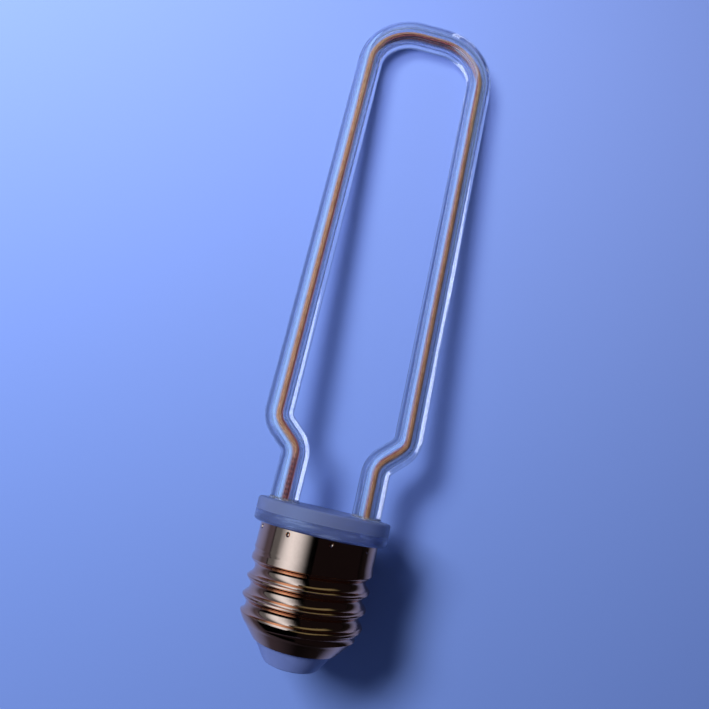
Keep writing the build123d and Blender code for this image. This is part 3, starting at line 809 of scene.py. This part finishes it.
brass, tree, out = blank_material("rose_brass")
brass_shader = add_node(tree, "ShaderNodeBsdfPrincipled", Metallic=1.0)
brass_marks = use_effect(tree, turned_marks, Fineness=5200.0, Cloud=190.0)
brass_tone = mix_colour(tree, brass_marks.outputs["Mask"], BRASS, BRASS_CLOUD)
link(tree, brass_tone, brass_shader.inputs["Base Color"])
worn = arithmetic(tree, "MULTIPLY", brass_marks.outputs["Mask"], BRASS_WORN)
link(tree, arithmetic(tree, "ADD", worn, BRASS_POLISH), brass_shader.inputs["Roughness"])
add_bump(tree, brass_marks.outputs["Height"], brass_shader, strength=0.12, distance=0.02 * MM)
link(tree, brass_shader.outputs["BSDF"], out.inputs["Surface"])
finish_node("screw_shell", brass)
print("screw shell done")

# %% [markdown]
# ## Insulator and centre contact
# The cone at the end of the cap is white moulded plastic, smooth with a soft gloss. The photograph's light
# is strongly blue and the lamp here is not, so the cone is written in the bluish tone that it shows there.
# The eyelet on it is stamped and tinned, like the wires, the filament's end clips and the solder.

# %% Insulator
INSULATOR_WHITE = (0.15, 0.205, 0.49)
INSULATOR_SHADE = (0.13, 0.18, 0.45)

insulator = moulding(
    "white_insulator", INSULATOR_SHADE, INSULATOR_WHITE, roughness=0.38, grain=3200.0, flow=260.0, bump=0.2
)
finish_node("insulator", insulator)
print("insulator done")


# %% Tinned metal of the contact, wires, terminals and solder
def tinned_metal(name, colour, polish, worn):
    """Bright tinned metal with turned marks and clouds that are duller by worn."""
    material, tree, out = blank_material(name)
    shader = add_node(tree, "ShaderNodeBsdfPrincipled", Metallic=1.0)
    shader.inputs["Base Color"].default_value = (*colour, 1.0)
    marks = use_effect(tree, turned_marks, Fineness=4200.0, Cloud=420.0)
    clouds = arithmetic(tree, "MULTIPLY", marks.outputs["Mask"], worn)
    link(tree, arithmetic(tree, "ADD", clouds, polish), shader.inputs["Roughness"])
    add_bump(tree, marks.outputs["Height"], shader, strength=0.3, distance=0.03 * MM)
    link(tree, shader.outputs["BSDF"], out.inputs["Surface"])
    return material


finish_node("centre_contact", tinned_metal("contact_metal", (0.66, 0.65, 0.62), polish=0.24, worn=0.2))
tinned_wire = tinned_metal("tinned_wire", (0.72, 0.72, 0.73), polish=0.2, worn=0.15)
for side_name in ("left", "right"):
    finish_node("filament_terminal_" + side_name, tinned_wire)
    finish_node("filament_lead_" + side_name, tinned_wire)
finish_node("solder_joints", tinned_metal("solder", (0.68, 0.69, 0.71), polish=0.12, worn=0.3))
print("tinned pieces done")

# %% [markdown]
# ## Parts on the driver board
# The driver sits in the closed cap, where only a blur of it shows through the frosted collar. Its finishes
# are still those of real parts, because the pieces may be lifted out and looked at: moulded packages and
# insulated wires, lacquered laminate with tracks under the lacquer, a sleeved capacitor and a banded
# resistor.

# %% Chips and insulated wires
CHIP_DARK = (0.018, 0.018, 0.020)
CHIP_BLACK = (0.030, 0.030, 0.033)
WIRE_RED = ((0.42, 0.03, 0.025), (0.55, 0.04, 0.03))
WIRE_BLUE = ((0.04, 0.08, 0.36), (0.05, 0.10, 0.45))

chip_black = moulding("chip_black", CHIP_DARK, CHIP_BLACK, roughness=0.5, grain=6000.0, flow=500.0)
for name in ("bridge_rectifier", "driver_ic", "sense_resistors"):
    finish_node(name, chip_black)
finish_node("live_wire", moulding("wire_red", *WIRE_RED, roughness=0.35, grain=3000.0, flow=250.0))
finish_node("neutral_wire", moulding("wire_blue", *WIRE_BLUE, roughness=0.35, grain=3000.0, flow=250.0))
print("mouldings done")

# %% [markdown]
# ### Driver board
# Under its green lacquer a board has copper tracks, a little paler and a little raised. A brick pattern's
# joints, laid in the board's own plane, give such lines, as a colour and as a height.

# %% Driver board
LACQUER = (0.025, 0.17, 0.06)
LACQUER_ON_TRACK = (0.06, 0.30, 0.11)

laminate, tree, out = blank_material("board_laminate")
laminate_shader = add_node(tree, "ShaderNodeBsdfPrincipled", Roughness=0.3, Coat_Weight=0.4)
parts = upright_parts(tree)
tracks = add_node(tree, "ShaderNodeTexBrick", Scale=240.0, Mortar_Size=0.06, Mortar_Smooth=0.2)
link(tree, join_parts(tree, X=parts["X"], Y=parts["Z"]), tracks.inputs["Vector"])
laminate_colour = mix_colour(tree, tracks.outputs["Fac"], LACQUER, LACQUER_ON_TRACK)
link(tree, laminate_colour, laminate_shader.inputs["Base Color"])
board_skin = use_effect(tree, moulded_skin, Grain=5000.0, Flow=600.0)
board_height = arithmetic(tree, "ADD", board_skin.outputs["Height"], tracks.outputs["Fac"])
add_bump(tree, board_height, laminate_shader, strength=0.4, distance=0.03 * MM)
link(tree, laminate_shader.outputs["BSDF"], out.inputs["Surface"])
finish_node("driver_board", laminate)
print("board done")

# %% [markdown]
# ### Capacitor and resistor
# The capacitor wears a shrunk sleeve with a pale stripe on one side, which marks a pole. The resistor is
# lacquered and has painted bands. Both marks follow the bulb's upright coordinates, so they need no
# pictures and no unwrapping.

# %% Capacitor
SLEEVE = (0.020, 0.030, 0.065)
SLEEVE_STRIPE = (0.45, 0.48, 0.52)
SLEEVE_STRIPE_X = 3.0 * MM

sleeve, tree, out = blank_material("capacitor_sleeve")
sleeve_shader = add_node(tree, "ShaderNodeBsdfPrincipled", Roughness=0.25, Coat_Weight=0.5)
stripe = arithmetic(tree, "GREATER_THAN", upright_parts(tree)["X"], SLEEVE_STRIPE_X)
link(tree, mix_colour(tree, stripe, SLEEVE, SLEEVE_STRIPE), sleeve_shader.inputs["Base Color"])
sleeve_skin = use_effect(tree, moulded_skin, Grain=1500.0, Flow=200.0)
add_bump(tree, sleeve_skin.outputs["Height"], sleeve_shader, strength=0.3, distance=0.04 * MM)
link(tree, sleeve_shader.outputs["BSDF"], out.inputs["Surface"])
finish_node("smoothing_capacitor", sleeve)
print("capacitor done")

# %% Resistor
LACQUERED_BODY = ((0.13, 0.24, 0.23), (0.16, 0.29, 0.27))
BAND_BROWN = (0.20, 0.08, 0.03)
BAND_BLACK = (0.02, 0.02, 0.02)
BAND_GOLD = (0.75, 0.55, 0.10)
BANDS = [(-10.15, BAND_BROWN), (-11.15, BAND_BLACK), (-12.15, BAND_BLACK), (-13.35, BAND_GOLD)]
BAND_HALF = 0.25 * MM

resistor, tree, out = blank_material("resistor_body")
resistor_shader = add_node(tree, "ShaderNodeBsdfPrincipled", Roughness=0.35, Coat_Weight=0.3)
height = upright_parts(tree)["Z"]
resistor_skin = use_effect(tree, moulded_skin, Grain=4000.0, Flow=500.0)
colour = mix_colour(tree, resistor_skin.outputs["Shade"], *LACQUERED_BODY)
for middle, paint in BANDS:
    colour = mix_colour(tree, band(tree, height, middle * MM, BAND_HALF), colour, paint)
link(tree, colour, resistor_shader.inputs["Base Color"])
add_bump(tree, resistor_skin.outputs["Height"], resistor_shader, strength=0.35, distance=0.03 * MM)
link(tree, resistor_shader.outputs["BSDF"], out.inputs["Surface"])
finish_node("fusible_resistor", resistor)
print("resistor done")

# %% End
print("all finishes set")
